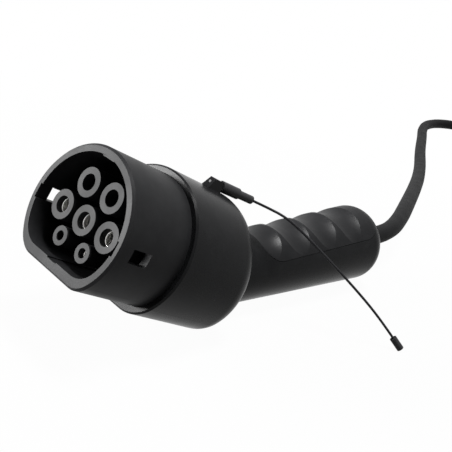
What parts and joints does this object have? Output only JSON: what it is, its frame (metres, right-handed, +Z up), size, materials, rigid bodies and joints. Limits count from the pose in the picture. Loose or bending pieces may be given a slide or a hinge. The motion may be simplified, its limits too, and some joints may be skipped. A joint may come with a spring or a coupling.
{
  "type": "ev charging connector with cable",
  "caption": "Hand-held connector for charging an electric car: flatted nose with sleeved contacts, handle with a soft grip, cable to a round lead plug, and a cap tether.",
  "frame": {"origin": "centre of the box of the connector without its cable and tether, on the surface it rests on", "axes": "+Z up, +Y from the nose's mouth towards the cable, +X to the side where the tether lies"},
  "size_m": [0.3255, 0.8183, 0.0844],
  "materials": {
    "shell_plastic": "fine spark-eroded moulding grain",
    "nose_plastic": "smooth moulded",
    "carrier_plastic": "smooth moulded",
    "grip_rubber": "soft matt",
    "seal_rubber": "matt",
    "contact_metal": "silver plated, satin",
    "screw_steel": "zinc plated",
    "cable_jacket": "satin extruded",
    "earth_insulation": "extruded, green with yellow",
    "neutral_insulation": "extruded",
    "line_insulation": "extruded",
    "pilot_insulation": "extruded",
    "resistor_body": "lacquered",
    "tether_jacket": "coated wire rope",
    "ferrule_sleeve": "satin black",
    "plug_plastic": "fine moulding grain",
    "insert_plastic": "smooth moulded",
    "tie_fabric": "woven strap"
  },
  "bodies": {
    "root": {"nose_shroud": "nose_plastic", "contact_carrier": "carrier_plastic", "earth_contact": "contact_metal", "neutral_contact": "contact_metal", "line_contact": "contact_metal", "pilot_contact": "contact_metal", "proximity_contact": "contact_metal", "contact_retainer": "carrier_plastic", "retainer_screws": "screw_steel", "nose_seal": "seal_rubber", "head_housing": "shell_plastic", "nose_screws": "screw_steel", "handle_shell": "shell_plastic", "grip_cover": "grip_rubber", "cable_tail": "cable_jacket", "cable_boot": "seal_rubber", "clamp_upper": "carrier_plastic", "clamp_lower": "carrier_plastic", "clamp_screws": "screw_steel", "earth_wire": "earth_insulation", "neutral_wire": "neutral_insulation", "line_wire": "line_insulation", "pilot_wire": "pilot_insulation", "proximity_resistor": "resistor_body", "tether_ferrule": "ferrule_sleeve", "cable_lead": "cable_jacket", "cable_end": "cable_jacket", "cable_coil": "cable_jacket", "coil_tie": "tie_fabric", "plug_body": "plug_plastic", "plug_boot": "seal_rubber", "plug_nose": "plug_plastic", "plug_insert": "insert_plastic", "plug_pins": "contact_metal", "tether_rope": "tether_jacket", "tether_sleeve": "ferrule_sleeve"}
  },
  "joints": []
}
